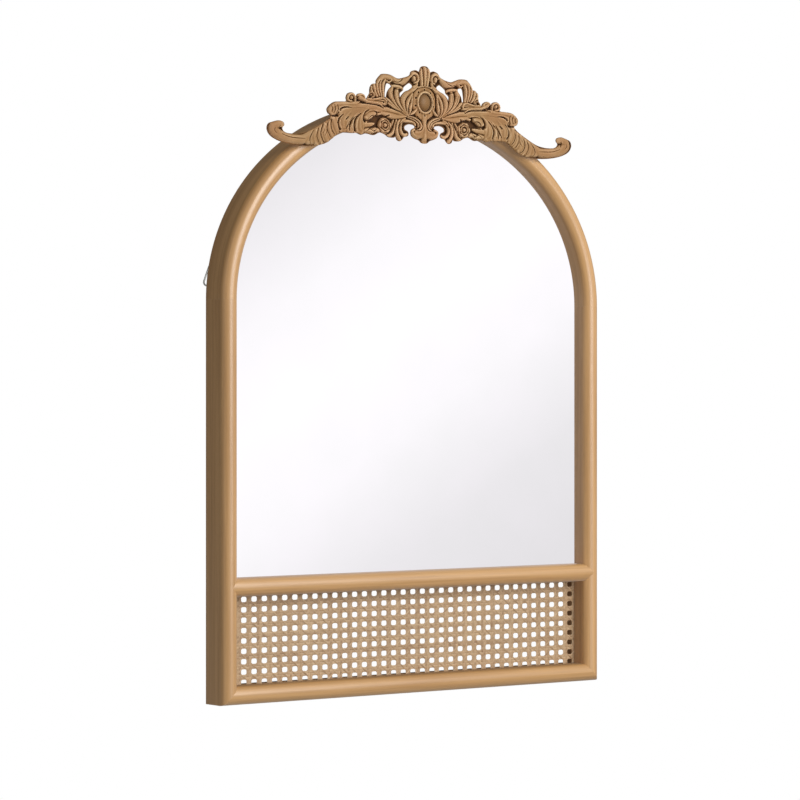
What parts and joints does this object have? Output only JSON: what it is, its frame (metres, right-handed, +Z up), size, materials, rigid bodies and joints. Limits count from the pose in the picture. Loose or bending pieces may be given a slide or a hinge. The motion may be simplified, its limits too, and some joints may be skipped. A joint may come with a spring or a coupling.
{
  "type": "wall mirror",
  "caption": "Arched wall mirror in a half-round wooden frame, with a carved crest on top and a woven cane panel below the glass.",
  "frame": {"origin": "midway between the two hanger pivots, on the plane of the frame's back, where the wall hooks hold the mirror", "axes": "+Z up, +Y into the wall, so the glass faces -Y, and +X to the viewer's right"},
  "size_m": [0.6644, 0.0643, 0.8765],
  "materials": {
    "frame_wood": "light brown stain with a satin lacquer",
    "crest_wood": "carved, reddish brown stain, matt in the hollows",
    "plain_wood": "unfinished softwood",
    "cane": "natural woven cane",
    "silvered_glass": "silvered float glass",
    "fibreboard": "smooth hardboard",
    "zinc_steel": "zinc-plated steel",
    "felt": "brown felt"
  },
  "bodies": {
    "mirror": {"backing_board": "fibreboard", "bottom_batten": "plain_wood", "bottom_rail": "frame_wood", "cane_panel": "cane", "crest_cabochon": "crest_wood", "crest_centre": "crest_wood", "crest_left_wing": "crest_wood", "crest_right_wing": "crest_wood", "crown_dowel": "plain_wood", "left_arch": "frame_wood", "left_arch_clip": "zinc_steel", "left_arch_clip_screw": "zinc_steel", "left_batten": "plain_wood", "left_batten_pin": "zinc_steel", "left_foot_dowel": "plain_wood", "left_hanger_strap": "zinc_steel", "left_head_pin": "zinc_steel", "left_inner_crest_screw": "zinc_steel", "left_mid_dowel": "plain_wood", "left_outer_crest_screw": "zinc_steel", "left_rail_clip": "zinc_steel", "left_rail_clip_screw": "zinc_steel", "left_side_clip": "zinc_steel", "left_side_clip_screw": "zinc_steel", "left_sill_pin": "zinc_steel", "left_spring_dowel": "plain_wood", "left_stile": "frame_wood", "left_strap_screw_1": "zinc_steel", "left_strap_screw_2": "zinc_steel", "left_wall_pad": "felt", "mid_rail": "frame_wood", "mirror_glass": "silvered_glass", "right_arch": "frame_wood", "right_arch_clip": "zinc_steel", "right_arch_clip_screw": "zinc_steel", "right_batten": "plain_wood", "right_batten_pin": "zinc_steel", "right_foot_dowel": "plain_wood", "right_hanger_strap": "zinc_steel", "right_head_pin": "zinc_steel", "right_inner_crest_screw": "zinc_steel", "right_mid_dowel": "plain_wood", "right_outer_crest_screw": "zinc_steel", "right_rail_clip": "zinc_steel", "right_rail_clip_screw": "zinc_steel", "right_side_clip": "zinc_steel", "right_side_clip_screw": "zinc_steel", "right_sill_pin": "zinc_steel", "right_spring_dowel": "plain_wood", "right_stile": "frame_wood", "right_strap_screw_1": "zinc_steel", "right_strap_screw_2": "zinc_steel", "right_wall_pad": "felt", "top_batten": "plain_wood"},
    "left_ring": {"left_hanger_ring": "zinc_steel"},
    "right_ring": {"right_hanger_ring": "zinc_steel"}
  },
  "joints": [
    {"name": "left_ring_swing", "type": "hinge", "parent": "mirror", "child": "left_ring", "pos_m": [-0.316, 0.003, 0], "axis": [1, 0, 0], "range_deg": [0, 180]},
    {"name": "right_ring_swing", "type": "hinge", "parent": "mirror", "child": "right_ring", "pos_m": [0.316, 0.003, 0], "axis": [1, 0, 0], "range_deg": [0, 180]}
  ]
}
